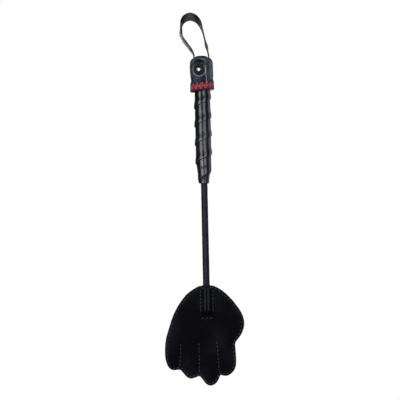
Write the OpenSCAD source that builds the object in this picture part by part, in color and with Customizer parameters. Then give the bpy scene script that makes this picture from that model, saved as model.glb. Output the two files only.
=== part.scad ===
// Hand-shaped leather swatter: a stiff rod in a leather sleeve, a spiral-wrapped grip, a padded
// cap with a snapped tab and a wrist strap, and a sewn hand of two leathers.
// Millimetres. +Z runs up the shaft, the front faces -Y, and the origin is the grip's middle.

/* [Rod and shaft] */
// diameter of the stiff rod
rod_dia = 6; // [5.5:0.1:6.2]
// outside diameter of the shaft's leather sleeve where it enters the hand
sleeve_dia = 8.8; // [8.4:0.1:9]

/* [Grip] */
// diameter of the turned grip under the leather
former_dia = 17.2; // [16.6:0.1:17.8]
// rise of the wrapped leather in one turn
wrap_pitch = 23.6; // [21:0.2:26]
// thickness of the wrapped leather
wrap_leather = 1.2; // [1:0.1:1.3]

/* [Cap and strap] */
// diameter of the leather cap
cap_dia = 29.8; // [29.2:0.1:30.2]
// diameter of the snap button's rim
snap_dia = 15; // [13:0.5:16]
// width of the wrist strap
strap_width = 12; // [10:0.5:12]
// thickness of the wrist strap
strap_leather = 2; // [1.6:0.1:2.2]

/* [Hand] */
// thickness of each of the hand's two leathers
hand_leather = 2.5; // [2:0.1:2.8]
// distance from one stitch to the next
stitch_pitch = 5.1; // [4:0.1:6]
// distance of the edge stitching from the edge
stitch_inset = 2.8; // [2.2:0.1:3.4]

/* [Hidden] */
$fn = 64;
hair = 0.02; // room that keeps a faceted piece off a round one
wrap_gap = 0.15; // room between one turn of leather and the next lying on it
gap = 0.3; // room between pieces that move against each other
pocket_room = 0.05; // room round the rod in the hand's pocket
slot_room = 1.5; // room round the strap's turning ends in their slots
big = 400; // larger than the whole part

rod_r = rod_dia / 2;
rod_tip_z = -224;
rod_top_z = 84;

sleeve_r = sleeve_dia / 2;
sleeve_top_r = sleeve_r - 0.2;
sleeve_top_z = -50;
sleeve_end_z = -221.5;

grip_top_z = 60.4;
taper_top_z = -36;
taper_low_z = -57;
swell_run = 20; // the former goes on swelling slightly above its taper for this length
corner_room = 0.3; // the leather bridges the former's corner by this
grip_end_z = -59.8;
former_r = former_dia / 2;
former_waist_r = former_r - 0.5;
former_end_r = 4.9;

wrap_overlap = 3.6;
wrap_width = wrap_pitch + wrap_overlap;
wrap_edge_z = 36.6; // height of a turn's lower edge on the left side
wrap_steps = 20; // straight steps in one turn
wrap_across = 4; // straight steps across the leather's width
wrap_crowding = 1.2; // how far these steps crowd to the lower edge
wrap_come_down = 9; // length in which a turn comes down off the one below

label_low_z = 59.2;
label_high_z = 71.8;
label_top_z = 73.6; // just over the highest point of the crooked label
label_tilt = 5.5;
label_t = 0.6;
label_room = 0.1;

cap_r = cap_dia / 2;
cap_foot_r = cap_r + 0.1;
cap_waist_r = cap_r - 0.6;
cap_leather_t = 1.6;
cap_bottom_z = 60.8;
cap_top_z = 104;
// points of the cap's outside as [distance outside cap_r, z, how far leather lowers it]
cap_points = [
    [cap_foot_r - cap_r, cap_bottom_z, 0], [cap_waist_r - cap_r, label_top_z, 0],
    [-0.1, 77, 0], [0, 84, 0], [-0.1, 92, 0], [-0.9, 96.4, 0.4], [-2.2, 99.4, 0.7],
    [-4.1, 101.7, 0.9], [-7, 103.3, 1]
];
strap_pivot_z = 102.5;
strap_left_x = -9.8;
strap_right_x = 9;
strap_end_r = strap_width / 2;
tail_low_z = 84;
tack_z = 89;
tack_pin_r = 0.9;
tack_pin_length = 8;
tack_head_r = 2.2;
tack_head_t = 0.8;

tab_turn = -10.5; // the tab stands a little left of the front
tab_width = 17.5;
tab_length = 24;
tab_t = 1.8;
tab_stand = 0.35; // room between the tab's lower end and the cap
root_t = 0.8; // the tab's fixed end is skived to this
tab_hinge_z = 73.8;
tab_lean = 7.5; // the snap's depth holds the tab off the cap by this angle
snap_height = 11.2; // of the snap above the tab's hinge
snap_rim_r = snap_dia / 2;
snap_rim_t = 1;
snap_dome_r = 4.7;
snap_dome_h = 1.5;
snap_post_r = 1.5;
snap_socket_r = 5;
snap_socket_t = 1.6;
socket_room = 0.4;
stud_room = 0.2;
stud_head_r = 1.9;
stud_head_h = 1.3;
stud_flange_r = 4.8;
stud_flange_t = 0.6;
stud_post = 2.5;
stud_face = tab_t / 2 + snap_socket_t + 0.1; // depth of the stud's flange behind the tab
stud_back = stud_face + stud_flange_t + stud_post;
washer_r = 4;
washer_t = 0.6;

bend_z = -236; // where the hand bends across, below the rod's pocket
bend_gap_r = hand_leather + gap;
bend_left_x = -46.2;
bend_right_x = 47.1;
pocket_mouth_z = -191.4;
pocket_end_z = -222;
pocket_taper_z = -230;
pocket_r = sleeve_r + pocket_room;
pocket_tip_room = 0.5;
pocket_row_x = 8;
pocket_row_top_z = -196;
pocket_row_end_z = -225;
cross_row_z = -232.6;
stitch_length = 3.5;
stitch_width = 0.9;
stitch_height = 0.45;

// control points of the hand's edge, clockwise from the mouth, as [x, z]
hand_points = [
    [0, -190.2], [7, -190.9], [13, -193.2], [19.7, -197.3], [25.6, -202.4], [30.6, -207.5],
    [35, -212.7], [38.9, -218], [42.3, -223], [44.9, -228], [47, -234], [47.7, -239.5],
    [46.9, -246], [43.8, -253.8], [40.2, -259], [36.8, -263.2], [35.4, -266.8], [35.8, -274],
    [36.3, -285], [35.9, -293.5], [33.9, -299.3], [30.8, -303.3], [26, -306.5], [22, -307.2],
    [18.3, -306.6], [15.6, -306.2], [13, -311.8], [9, -317], [2.6, -319.4], [-3, -316.8],
    [-7.5, -310.9], [-10.6, -307.4], [-12.4, -307], [-15.2, -308.1], [-21.5, -309.8],
    [-26.5, -308.4], [-30.5, -304.3], [-34.6, -299.4], [-38.1, -298], [-43.2, -298.6],
    [-47.8, -297.4], [-50.9, -294.2], [-53.4, -288.6], [-54.9, -280], [-54.7, -268],
    [-53.3, -258], [-51, -250], [-48.2, -241.5], [-45.4, -233.3], [-42.2, -225.6],
    [-38, -218], [-32.7, -210], [-26.3, -202.4], [-20, -197.3], [-13.2, -193.2], [-7, -190.9]
];
// each finger line of stitches, from its top to its notch, as [x, z]
finger_lines = [
    [[-34.4, -264], [-36.4, -294]],
    [[-11.1, -264], [-11.2, -302.5]],
    [[11.9, -262], [14.2, -302.5]]
];
// control points of the wrist strap's middle line, from the left leg over the top, as [x, z]
strap_points = [
    [strap_left_x, strap_pivot_z], [-9.9, 105.5], [-12.6, 111], [-18, 118.5], [-23.6, 126.9],
    [-25.9, 136.4], [-25.6, 147], [-22, 155.6], [-14.4, 160], [-6.6, 156.6], [-1.3, 149],
    [1.3, 141], [3.4, 131.3], [5.8, 121], [7.6, 112], [8.9, 105.5], [strap_right_x, strap_pivot_z]
];
strap_steps = 5;
strap_lean_z = 118; // above this the strap leans back
strap_lean = 0.0175;

// ---- curves ----

function curve_point(p0, p1, p2, p3, t) =
    0.5 * (2 * p1 + (p2 - p0) * t + (2 * p0 - 5 * p1 + 4 * p2 - p3) * t * t
        + (3 * p1 - p0 - 3 * p2 + p3) * t * t * t);

function closed_curve(points, steps) = [
    for (i = [0 : len(points) - 1], k = [0 : steps - 1])
        curve_point(
            points[(i + len(points) - 1) % len(points)],
            points[i],
            points[(i + 1) % len(points)],
            points[(i + 2) % len(points)],
            k / steps)
];

function open_curve(points, steps) = [
    for (i = [1 : len(points) - 3], k = [0 : steps - 1])
        curve_point(points[i - 1], points[i], points[i + 1], points[i + 2], k / steps),
    points[len(points) - 2]
];

function unit(v) = v / norm(v);

// triangles round a body swept through count + 1 sections of ring points each
function swept_faces(count, ring) = concat(
    [
        for (i = [0 : count - 1], k = [0 : ring - 1])
            [i * ring + k, (i + 1) * ring + k, (i + 1) * ring + (k + 1) % ring]
    ],
    [
        for (i = [0 : count - 1], k = [0 : ring - 1])
            [i * ring + k, (i + 1) * ring + (k + 1) % ring, i * ring + (k + 1) % ring]
    ],
    [
        for (k = [0 : ring / 2 - 2])
            [k, k + 1, ring - 2 - k, ring - 1 - k]
    ],
    [
        for (k = [0 : ring / 2 - 2])
            [for (j = [ring - 1 - k, ring - 2 - k, k + 1, k]) count * ring + j]
    ]
);

hand_edge = closed_curve(hand_points, 3);
edge_count = len(hand_edge);

// the stitching's line: the hand's edge moved inwards, without the loops this makes at notches
function inset_at(i) =
    let (
        before = hand_edge[(i + edge_count - 1) % edge_count],
        after = hand_edge[(i + 1) % edge_count],
        along = unit(after - before)
    )
    hand_edge[i] + stitch_inset * [along[1], -along[0]];

function clearance(p) = min([for (q = hand_edge) norm(p - q)]);

inset_line = [
    for (i = [0 : edge_count - 1])
        let (p = inset_at(i))
        if (clearance(p) > 0.93 * stitch_inset) p
];

// lengths along a closed line, up to each of its points
function lengths(line, i = 0, sum = 0) =
    i == len(line)
        ? [sum]
        : concat([sum], lengths(line, i + 1, sum + norm(line[(i + 1) % len(line)] - line[i])));

inset_lengths = lengths(inset_line);
inset_total = inset_lengths[len(inset_line)];
edge_stitch_count = round(inset_total / stitch_pitch);

function segment_at(s) = len([for (d = inset_lengths) if (d <= s) d]) - 1;

// position and direction of the stitching at a length s along it
function stitch_at(s) =
    let (
        i = segment_at(s),
        a = inset_line[i],
        b = inset_line[(i + 1) % len(inset_line)],
        t = (s - inset_lengths[i]) / (inset_lengths[i + 1] - inset_lengths[i])
    )
    [a + t * (b - a), unit(b - a)];

edge_stitches = [
    for (n = [0 : edge_stitch_count - 1])
        stitch_at((n + 0.5) * inset_total / edge_stitch_count)
];

function line_stitches(a, b) =
    let (count = max(1, round(norm(b - a) / stitch_pitch)))
    [for (n = [0 : count - 1]) [a + (n + 0.5) / count * (b - a), unit(b - a)]];

// ---- rod and shaft ----

module core_rod() color("Khaki")
    translate([0, 0, rod_tip_z])
        cylinder(h = rod_top_z - rod_tip_z, r = rod_r);

module shaft_sleeve() color("DimGray")
    difference() {
        translate([0, 0, sleeve_end_z])
            cylinder(h = sleeve_top_z - sleeve_end_z, r1 = sleeve_r, r2 = sleeve_top_r);
        translate([0, 0, sleeve_end_z - 1])
            cylinder(h = sleeve_top_z - sleeve_end_z + 2, r = rod_r);
    }

// ---- grip ----

module grip_former() color("BurlyWood")
    rotate_extrude()
        polygon([
            [rod_r, sleeve_top_z],
            [sleeve_r, sleeve_top_z],
            [sleeve_r, taper_low_z - 1],
            [former_end_r, taper_low_z - 1],
            [former_end_r, taper_low_z],
            [former_waist_r - corner_room, taper_top_z],
            [former_r - corner_room / 4, taper_top_z + swell_run],
            [former_r, taper_top_z + 2 * swell_run],
            [former_r, grip_top_z],
            [rod_r, grip_top_z]
        ]);

// outside radius of the grip under its leather at height z
function under_wrap(z) =
    z < taper_low_z
        ? former_end_r
        : z < taper_top_z
            ? former_end_r
                + (former_waist_r - former_end_r) * (z - taper_low_z) / (taper_top_z - taper_low_z)
            : min(
                former_r,
                former_waist_r + (former_r - former_waist_r) * (z - taper_top_z) / swell_run);

// height of the leather's inner face off the former at a distance s above its lower edge
function wrap_lift(s) =
    s < wrap_overlap
        ? wrap_leather + wrap_gap
        : max(0, (wrap_leather + wrap_gap) * (1 - (s - wrap_overlap) / wrap_come_down));

function wrap_inner(z, s) =
    (under_wrap(z) + hair) / cos(180 / wrap_steps) + wrap_lift(s);

// distances above the lower edge at which the leather's cross-section has a point
function wrap_stations(low, high) = [
    for (k = [0 : wrap_across])
        low + (high - low) * pow(k / wrap_across, wrap_crowding)
];

module grip_wrap() color("Black") {
    first = (grip_end_z - wrap_width + 1 - wrap_edge_z) / wrap_pitch;
    last = (grip_top_z - 1 - wrap_edge_z) / wrap_pitch;
    count = floor((last - first) * wrap_steps);
    ring = 2 * (wrap_across + 1);
    sections = [
        for (i = [0 : count])
            let (
                turn = first + i / wrap_steps,
                angle = 180 + 360 * turn,
                edge = wrap_edge_z + wrap_pitch * turn,
                stations = wrap_stations(max(0, grip_end_z - edge), min(wrap_width, grip_top_z - edge)),
                inner = [for (s = stations) [wrap_inner(edge + s, s), edge + s]],
                outer = [for (p = inner) [p[0] + wrap_leather, p[1]]],
                outline = concat(inner, [for (k = [wrap_across : -1 : 0]) outer[k]])
            )
            for (p = outline)
                [p[0] * cos(angle), p[0] * sin(angle), p[1]]
    ];
    polyhedron(sections, swept_faces(count, ring), convexity = 8);
}

// ---- cap ----

// half profile of the cap, drawn in by a distance, as [radius, z]
function cap_profile(in) = concat(
    [[0, cap_bottom_z]],
    [for (p = cap_points) [cap_r + p[0] - in, p[1] - in * p[2]]],
    [[0, cap_top_z - in]]
);

module strap_slots(side_gap)
    for (x = [strap_left_x, strap_right_x])
        translate([x, 0, strap_pivot_z])
            rotate([0, 90, 0])
                cylinder(
                    h = strap_leather + 2 * side_gap,
                    r = strap_end_r + slot_room,
                    center = true);

module tail_slabs()
    for (x = [strap_left_x, strap_right_x])
        translate([x - strap_leather / 2, -strap_end_r, tail_low_z])
            cube([strap_leather, strap_width, strap_pivot_z - tail_low_z]);

// children placed in the closed tab's own frame: the hinge line at the origin, +Z up the tab
module on_tab()
    rotate([0, 0, tab_turn])
        translate([0, -(cap_r + tab_stand + tab_t / 2), tab_hinge_z])
            rotate([tab_lean, 0, 0])
                children();

// a disc across the tab's thickness, from one depth to another
module snap_disc(r, from, to)
    translate([0, from, snap_height])
        rotate([-90, 0, 0])
            cylinder(h = to - from, r = r);

module pommel_core() color("Tan")
    difference() {
        rotate_extrude()
            polygon(cap_profile(cap_leather_t));
        translate([0, 0, cap_bottom_z - 1])
            cylinder(h = rod_top_z - cap_bottom_z + 1, r = rod_r);
        strap_slots(gap);
        tail_slabs();
        for (side = [-1, 1])
            tack(side);
        on_tab()
            snap_disc(washer_r + gap, stud_face, stud_back + washer_t + gap);
    }

module cap_leather() color("SlateGray")
    difference() {
        rotate_extrude()
            difference() {
                polygon(cap_profile(0));
                polygon(cap_profile(cap_leather_t));
                translate([-1, cap_bottom_z - 1])
                    square([1 + cap_waist_r - cap_leather_t, 2]);
            }
        strap_slots(gap);
        tail_slabs();
        tab_root_shell();
        on_tab() {
            snap_disc(snap_socket_r + socket_room, -tab_t, stud_face);
            snap_disc(stud_flange_r, stud_face - 1, stud_face + stud_flange_t);
            snap_disc(snap_post_r, 0, stud_back + 1);
        }
    }

// ---- label ----

// a cone from one radius at the label's foot to another at its highest point, and a little beyond
module label_cone(r_low, r_high) {
    beyond = 2;
    widening = beyond * (r_low - r_high) / (label_top_z - label_low_z);
    translate([0, 0, label_low_z - beyond])
        cylinder(
            h = label_top_z - label_low_z + 2 * beyond,
            r1 = r_low + widening,
            r2 = r_high - widening);
}

module label_band() color("Maroon")
    intersection() {
        difference() {
            label_cone(cap_foot_r + gap + label_t, cap_waist_r + label_room + label_t);
            label_cone(cap_foot_r + gap, cap_waist_r + label_room);
        }
        rotate([0, -label_tilt, 0])
            translate([-big / 2, -big / 2, label_low_z])
                cube([big, big, label_high_z - label_low_z]);
    }

// ---- closing tab ----

// the tab's fixed end: skived thin, let into the cap's leather and held under the label
module tab_root_shell()
    rotate([0, 0, tab_turn])
        intersection() {
            translate([-tab_width / 2, -big, cap_bottom_z + 1])
                cube([tab_width, big, tab_hinge_z - tab_t / 2 - cap_bottom_z - 1]);
            difference() {
                label_cone(cap_foot_r, cap_waist_r);
                label_cone(cap_foot_r - root_t, cap_waist_r - root_t);
            }
        }

module tab_root() color("Black")
    intersection() {
        tab_root_shell();
        translate([0, 0, label_low_z])
            cylinder(h = label_high_z - label_low_z, r = big);
    }

module closing_tab() color("Black")
    on_tab()
        difference() {
            union() {
                rotate([0, 90, 0])
                    cylinder(h = tab_width, r = tab_t / 2, center = true);
                translate([-tab_width / 2, -tab_t / 2, 0])
                    cube([tab_width, tab_t, tab_length - tab_width / 2]);
                translate([0, tab_t / 2, tab_length - tab_width / 2])
                    rotate([90, 0, 0])
                        cylinder(h = tab_t, r = tab_width / 2);
            }
            snap_disc(snap_post_r, -tab_t, tab_t);
        }

module snap_button() color("Black")
    on_tab() {
        snap_disc(snap_rim_r, -tab_t / 2 - snap_rim_t, -tab_t / 2);
        snap_disc(snap_dome_r, -tab_t / 2 - snap_rim_t - snap_dome_h, -tab_t / 2 - snap_rim_t);
        snap_disc(snap_post_r, -tab_t / 2, tab_t / 2);
    }

module snap_socket() color("Silver")
    on_tab()
        difference() {
            snap_disc(snap_socket_r, tab_t / 2, tab_t / 2 + snap_socket_t);
            snap_disc(stud_head_r + stud_room, tab_t / 2 + stud_room, stud_face);
        }

module snap_stud() color("Silver")
    on_tab() {
        snap_disc(stud_head_r, stud_face - stud_head_h, stud_face);
        snap_disc(stud_flange_r, stud_face, stud_face + stud_flange_t);
        snap_disc(snap_post_r, stud_face + stud_flange_t, stud_back);
    }

module snap_washer() color("Silver")
    on_tab()
        snap_disc(washer_r, stud_back, stud_back + washer_t);

// ---- wrist strap ----

module tack(side) {
    x = side < 0 ? strap_left_x : strap_right_x;
    pin_reach = tack_pin_length - strap_leather;
    translate([x - side * pin_reach, 0, tack_z])
        rotate([0, side * 90, 0])
            cylinder(h = tack_pin_length, r = tack_pin_r);
    translate([x + side * strap_leather / 2, 0, tack_z])
        rotate([0, side * 90, 0])
            cylinder(h = tack_head_t, r = tack_head_r);
}

module strap_tacks() color("Gold")
    for (side = [-1, 1])
        tack(side);

module strap_tails() color("Black")
    difference() {
        tail_slabs();
        translate([0, 0, strap_pivot_z])
            rotate([0, 90, 0])
                cylinder(h = big, r = strap_end_r + slot_room, center = true);
        for (side = [-1, 1])
            tack(side);
    }

function lean_back(z) = strap_lean * pow(max(0, z - strap_lean_z), 2);
function lean_angle(z) = atan(2 * strap_lean * max(0, z - strap_lean_z));

strap_line = open_curve(
    concat(
        [[strap_left_x, strap_pivot_z - 3]],
        strap_points,
        [[strap_right_x, strap_pivot_z - 3]]),
    strap_steps);

function strap_place(i) =
    let (p = strap_line[i])
    [p[0], lean_back(p[1]), p[1]];

function strap_corners(i) =
    let (
        last = len(strap_line) - 1,
        middle = strap_place(i),
        on_end = i == 0 || i == last,
        along = on_end
            ? [0, 0, i == 0 ? 1 : -1]
            : unit(strap_place(i + 1) - strap_place(i - 1)),
        lean = lean_angle(middle[2]),
        wide = [0, cos(lean), -sin(lean)],
        across = unit(wide - (wide * along) * along),
        out = cross(along, across)
    )
    [
        middle + across * strap_end_r + out * strap_leather / 2,
        middle - across * strap_end_r + out * strap_leather / 2,
        middle - across * strap_end_r - out * strap_leather / 2,
        middle + across * strap_end_r - out * strap_leather / 2
    ];

module wrist_strap() color("Black") {
    last = len(strap_line) - 1;
    polyhedron(
        [for (i = [0 : last], c = strap_corners(i)) c],
        swept_faces(last, 4),
        convexity = 6);
    for (x = [strap_left_x, strap_right_x])
        intersection() {
            translate([x, 0, strap_pivot_z])
                rotate([0, 90, 0])
                    cylinder(h = strap_leather, r = strap_end_r, center = true);
            translate([x - strap_leather, -big / 2, strap_pivot_z - big])
                cube([2 * strap_leather, big, big]);
        }
}

// ---- hand ----

module hand_slab()
    rotate([90, 0, 0])
        linear_extrude(height = hand_leather)
            polygon(hand_edge);

module half_round(r, low, high)
    translate([0, 0, low])
        intersection() {
            cylinder(h = high - low, r = r);
            translate([-big / 2, -big, -1])
                cube([big, big, big]);
        }

// the front leather with its half of the rod's pocket
module front_panel()
    difference() {
        union() {
            hand_slab();
            half_round(pocket_r + hand_leather, pocket_end_z, pocket_mouth_z);
            translate([0, 0, pocket_taper_z])
                intersection() {
                    cylinder(
                        h = pocket_end_z - pocket_taper_z,
                        r1 = hand_leather,
                        r2 = pocket_r + hand_leather);
                    translate([-big / 2, -big, -1])
                        cube([big, big, big]);
                }
        }
        translate([0, 0, pocket_end_z])
            cylinder(h = big, r = pocket_r);
        translate([0, 0, rod_tip_z - pocket_tip_room])
            cylinder(h = big, r = rod_r + pocket_room);
    }

module bend_cylinder(r)
    translate([0, 0, bend_z])
        rotate([0, 90, 0])
            cylinder(h = big, r = r, center = true);

module front_neck()
    difference() {
        front_panel();
        translate([-big / 2, -big / 2, bend_z - big])
            cube([big, big, big]);
        bend_cylinder(bend_gap_r);
    }

module front_palm() {
    difference() {
        front_panel();
        translate([-big / 2, -big / 2, bend_z])
            cube([big, big, big]);
    }
    intersection() {
        bend_cylinder(hand_leather);
        translate([bend_left_x, -big, bend_z])
            cube([bend_right_x - bend_left_x, big, big]);
    }
}

module front_leather_neck() color("DarkSlateGray") front_neck();
module front_leather_palm() color("DarkSlateGray") front_palm();
module back_leather_neck() color("DimGray") mirror([0, 1, 0]) front_neck();
module back_leather_palm() color("DimGray") mirror([0, 1, 0]) front_palm();

// one stitch on each face of the hand, at a place and a direction
module stitch(at)
    translate([at[0][0], 0, at[0][1]])
        rotate([0, -atan2(at[1][1], at[1][0]), 0])
            for (y = [-hand_leather - stitch_height, hand_leather])
                translate([-stitch_length / 2, y, -stitch_width / 2])
                    cube([stitch_length, stitch_height, stitch_width]);

module edge_stitches_neck() color("Gray")
    for (s = edge_stitches)
        if (s[0][1] > bend_z + bend_gap_r + stitch_length / 4
            && abs(s[0][0]) > pocket_r + hand_leather + stitch_length / 2)
            stitch(s);

module edge_stitches_palm() color("Gray")
    for (s = edge_stitches)
        if (s[0][1] < bend_z - stitch_length / 2)
            stitch(s);

module pocket_stitches() color("Gray")
    for (x = [-pocket_row_x, pocket_row_x])
        for (s = line_stitches([x, pocket_row_top_z], [x, pocket_row_end_z]))
            stitch(s);

module cross_stitches() color("Gray")
    for (s = line_stitches([-pocket_row_x, cross_row_z], [pocket_row_x, cross_row_z]))
        stitch(s);

module finger_stitches() color("Gray")
    for (line = finger_lines)
        for (s = line_stitches(line[0], line[1]))
            stitch(s);

core_rod();
shaft_sleeve();
grip_former();
grip_wrap();
pommel_core();
cap_leather();
label_band();
tab_root();
closing_tab();
snap_button();
snap_socket();
snap_stud();
snap_washer();
strap_tails();
strap_tacks();
wrist_strap();
front_leather_neck();
front_leather_palm();
back_leather_neck();
back_leather_palm();
edge_stitches_neck();
edge_stitches_palm();
pocket_stitches();
cross_stitches();
finger_stitches();
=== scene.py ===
# %% [markdown]
# # A hand-shaped leather swatter
# A stiff rod in a leather sleeve carries a flap of two leathers sewn together in the outline of a
# hand. The grip is wrapped in a spiral of leather, and a padded cap holds a snapped tab and a
# wrist strap. The exact solids of every piece come from the frame. This file dresses them: each
# soft piece is built again as a mesh with folds, rounded edges and stitches, in the same place.

# %% The frame
import math

import bmesh
import bpy
import numpy as np
from mathutils import Matrix, Vector


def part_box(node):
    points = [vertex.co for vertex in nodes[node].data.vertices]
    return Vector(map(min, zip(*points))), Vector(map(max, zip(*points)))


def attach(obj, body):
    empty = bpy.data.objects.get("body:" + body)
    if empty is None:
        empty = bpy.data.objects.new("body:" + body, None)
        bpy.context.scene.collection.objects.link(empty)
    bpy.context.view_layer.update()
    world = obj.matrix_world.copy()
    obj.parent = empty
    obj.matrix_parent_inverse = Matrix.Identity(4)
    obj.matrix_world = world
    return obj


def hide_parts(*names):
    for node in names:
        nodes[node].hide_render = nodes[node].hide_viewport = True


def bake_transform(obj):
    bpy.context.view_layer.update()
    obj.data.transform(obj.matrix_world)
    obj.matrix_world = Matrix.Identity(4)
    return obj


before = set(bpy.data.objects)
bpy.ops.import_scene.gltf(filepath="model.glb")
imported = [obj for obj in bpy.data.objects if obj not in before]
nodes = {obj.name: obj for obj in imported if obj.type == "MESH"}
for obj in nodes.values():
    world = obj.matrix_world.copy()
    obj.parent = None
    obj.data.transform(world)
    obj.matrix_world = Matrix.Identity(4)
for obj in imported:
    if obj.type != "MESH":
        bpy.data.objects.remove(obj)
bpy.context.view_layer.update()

MM = 0.001
same_point_mm = 0.002
print("solids in the frame:", len(nodes))

# %% [markdown]
# ## Building surfaces
# Every soft piece here is a skin drawn through rings of points: rings round the grip, rings round
# the hand's edge, rings across the strap. Lofting by hand in this way keeps full control of where
# the detail sits, which a sculpt or a stack of modifiers would not.

# %% Skins through rings
def skin(rings, ring_closes=True, path_closes=False, ends=True):
    """Points and faces of the surface through equally long rings of points."""
    rings = np.asarray(rings, float)
    count, around = rings.shape[:2]
    faces = []
    for i in range(count if path_closes else count - 1):
        for j in range(around if ring_closes else around - 1):
            here, there = i * around, (i + 1) % count * around
            k = (j + 1) % around
            faces.append((here + j, here + k, there + k, there + j))
    if ends and ring_closes and not path_closes:
        faces.append(tuple(range(around)))
        faces.append(tuple((count - 1) * around + j for j in range(around)))
    return rings.reshape(-1, 3), faces


def make_piece(name, points, faces, finish):
    """A smooth object from points in millimetres, with its faces turned outwards."""
    mesh = bpy.data.meshes.new(name)
    mesh.from_pydata((np.asarray(points) * MM).tolist(), [], faces)
    work = bmesh.new()
    work.from_mesh(mesh)
    bmesh.ops.remove_doubles(work, verts=work.verts, dist=same_point_mm * MM)
    bmesh.ops.recalc_face_normals(work, faces=work.faces)
    work.to_mesh(mesh)
    work.free()
    mesh.shade_smooth()
    mesh.materials.append(finish)
    piece = bpy.data.objects.new(name, mesh)
    bpy.context.scene.collection.objects.link(piece)
    print(f"{name}: {len(mesh.vertices)} points")
    return piece


def paint_point_values(piece, rule, name="wear_and_sheen"):
    """Stores a value from 0 to 1 at each point of a piece: rubbing, painted highlights and sheen, a
    gloss mask, or which side is outside.
    """
    mesh = piece.data
    co = np.zeros(len(mesh.vertices) * 3)
    mesh.vertices.foreach_get("co", co)
    values = np.clip(rule(co.reshape(-1, 3) / MM), 0, 1)
    layer = mesh.attributes.new(name, "FLOAT", "POINT")
    layer.data.foreach_set("value", values.astype(np.float32))


def ripple(points, size, seed, waves=7):
    """Smooth unevenness from -1 to 1 at each point, with bumps of about that size."""
    draw = np.random.default_rng(seed)
    directions = draw.normal(size=(waves, 3))
    directions /= np.linalg.norm(directions, axis=1)[:, None]
    lengths = size * draw.uniform(0.7, 1.6, waves)
    phases = draw.uniform(0, 2 * math.pi, waves)
    turns = np.asarray(points) @ directions.T / lengths * 2 * math.pi + phases
    return np.sin(turns).sum(-1) / math.sqrt(waves) / 1.6


def smooth_step(x, low, high):
    """0 below low, 1 above high, and smooth between them."""
    t = np.clip((np.asarray(x, float) - low) / (high - low), 0, 1)
    return t * t * (3 - 2 * t)


def curve_through(points, steps, closes=False):
    """A smooth line through control points, with that many steps between two of them."""
    points = np.asarray(points, float)
    count = len(points)
    line = []
    for i in range(count if closes else count - 1):
        if closes:
            a, b, c, d = (points[(i + k) % count] for k in (-1, 0, 1, 2))
        else:
            a, b, c, d = (points[min(max(i + k, 0), count - 1)] for k in (-1, 0, 1, 2))
        for t in np.arange(steps) / steps:
            line.append(
                0.5
                * (
                    2 * b
                    + (c - a) * t
                    + (2 * a - 5 * b + 4 * c - d) * t**2
                    + (3 * b - a - 3 * c + d) * t**3
                )
            )
    if not closes:
        line.append(points[-1])
    return np.array(line)


print("helpers ready")

# %% [markdown]
# ## Camera
# The object is seen square from the front through a long lens, and it leans a little: its cap is
# left of its hand. The camera is rolled by that lean, so the object itself stays upright.

# %% Camera
lean = math.radians(1.22)
view_width = 514 * MM
lens, sensor = 100, 36
view_centre = Vector((-5.85, 0, -80.85)) * MM
camera_distance = view_width * lens / sensor

right = Vector((math.cos(lean), 0, -math.sin(lean)))
up = Vector((math.sin(lean), 0, math.cos(lean)))
back = Vector((0, -1, 0))
camera = bpy.data.objects.new("camera", bpy.data.cameras.new("camera"))
camera.data.lens = lens
camera.data.sensor_width = sensor
place = Matrix((right, up, back)).transposed().to_4x4()
place.translation = view_centre + back * camera_distance
camera.matrix_world = place
bpy.context.scene.collection.objects.link(camera)
bpy.context.scene.camera = camera
print("camera stands", round(camera_distance, 3), "m away")

# %% [markdown]
# ## Light
# Black leather shows only what it reflects, so the lights are shaped by the streaks they leave on
# the grip: a tall softbox to the left, another right of the camera, and a dark gap between them
# that draws the thin dark streak. A dim bluish fill and one lamp behind keep the sides and the
# back readable, and a small bright lamp stands just where the snap's tilted dome mirrors it.

# %% Softboxes
def softbox(name, azimuth, width, height, glow, distance=1.8, tone=(1, 1, 1), rise=0.0):
    """A tall lamp aimed at the object, azimuth degrees to the right of the camera."""
    lamp = bpy.data.lights.new(name, "AREA")
    lamp.shape = "RECTANGLE"
    lamp.size, lamp.size_y = width, height
    lamp.energy = glow * math.pi * width * height
    lamp.color = tone
    stand = bpy.data.objects.new(name, lamp)
    turn = math.radians(azimuth)
    spot = Vector((math.sin(turn), -math.cos(turn), 0)) * distance
    stand.location = view_centre + spot + Vector((0, 0, rise))
    aim = view_centre - stand.location
    stand.rotation_euler = aim.to_track_quat("-Z", "Y").to_euler()
    stand.visible_camera = False
    bpy.context.scene.collection.objects.link(stand)


cool = (0.9, 0.94, 1)
bluish = (0.78, 0.85, 1)
softbox("left_softbox", -41, 0.8, 1.7, 8)
softbox("front_softbox", 21, 1.05, 1.7, 6, tone=cool)
softbox("right_fill", 104, 1.2, 1.5, 2.2, tone=bluish)
softbox("back_softbox", 180, 1.6, 1.6, 2.5, distance=2.4, tone=cool)
softbox("top_softbox", 30, 1.0, 0.8, 3, distance=0.9, rise=1.5, tone=cool)
softbox("spark_lamp", -21, 0.28, 0.28, 34, distance=1.6, rise=-0.06)

world = bpy.data.worlds.new("studio")
bpy.context.scene.world = world
world.use_nodes = True
sky = world.node_tree
seen = sky.nodes["Background"]
seen.inputs["Color"].default_value = (1, 1, 1, 1)
dim = sky.nodes.new("ShaderNodeBackground")
dim.inputs["Color"].default_value = (0.75, 0.82, 1, 1)
dim.inputs["Strength"].default_value = 0.1
chooser = sky.nodes.new("ShaderNodeMixShader")
rays = sky.nodes.new("ShaderNodeLightPath")
sky.links.new(rays.outputs["Is Camera Ray"], chooser.inputs["Fac"])
sky.links.new(dim.outputs[0], chooser.inputs[1])
sky.links.new(seen.outputs[0], chooser.inputs[2])
sky.links.new(chooser.outputs[0], sky.nodes["World Output"].inputs["Surface"])
bpy.context.scene.view_settings.view_transform = "Standard"

# %% [markdown]
# ## Writing shaders as sums
# A finish is easier to read as arithmetic than as a web of boxes. Value wraps one socket and gives
# it the usual operators, each of which adds a Math node. Every other node is made by one method,
# which sets the node's settings first and then fills or links its sockets.

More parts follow.
